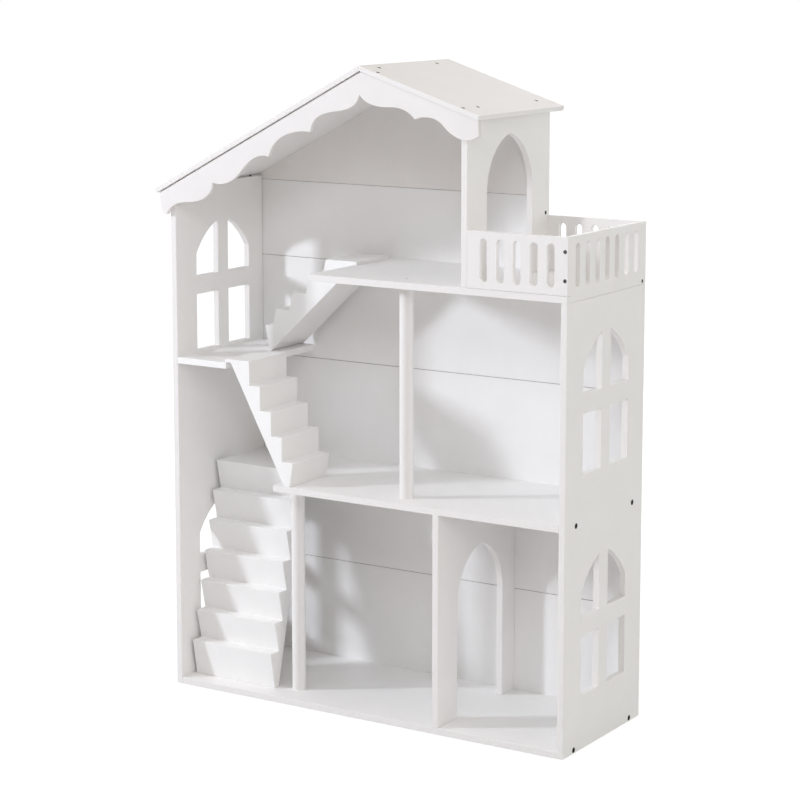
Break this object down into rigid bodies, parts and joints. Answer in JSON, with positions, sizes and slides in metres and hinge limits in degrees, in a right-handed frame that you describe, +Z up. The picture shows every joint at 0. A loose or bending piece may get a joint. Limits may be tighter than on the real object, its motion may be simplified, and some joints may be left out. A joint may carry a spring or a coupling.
{
  "type": "wooden dollhouse",
  "caption": "Open-fronted storeyed wooden dollhouse with arched windows, stairs, a scalloped gable roof and a railed balcony, painted white.",
  "frame": {"origin": "centre of the bottom of the bounding box, on the ground the house stands on", "axes": "+Z up; -Y is the open front; +X to the right, towards the balcony"},
  "size_m": [0.855, 0.3014, 1.175],
  "materials": {
    "painted_board": "satin white paint on board",
    "painted_back": "satin white paint on thin board",
    "dark_screw": "blackened",
    "plain_screw": "zinc plated",
    "dowel_wood": "bare beech"
  },
  "bodies": {
    "root": {"left_side_panel": "painted_board", "right_side_panel": "painted_board", "ground_floor": "painted_board", "middle_floor": "painted_board", "top_floor": "painted_board", "stair_landing": "painted_board", "partition_wall": "painted_board", "tower_wall": "painted_board", "lower_stair": "painted_board", "middle_stair": "painted_board", "upper_stair": "painted_board", "ground_post": "painted_board", "upper_post": "painted_board", "left_roof_board": "painted_board", "right_roof_board": "painted_board", "scalloped_fascia": "painted_board", "ridge_cleat": "painted_board", "balcony_front_rail": "painted_board", "balcony_side_rail": "painted_board", "balcony_back_rail": "painted_board", "back_board_1": "painted_back", "back_board_2": "painted_back", "back_board_3": "painted_back", "back_board_4": "painted_back", "back_board_5": "painted_back", "back_gable_board": "painted_back", "panel_bolts": "dark_screw", "roof_screws": "dark_screw", "tower_screw": "dark_screw", "post_screws": "dark_screw", "back_board_screws": "dark_screw", "rail_screws": "plain_screw", "hidden_dowels": "dowel_wood"}
  },
  "joints": []
}
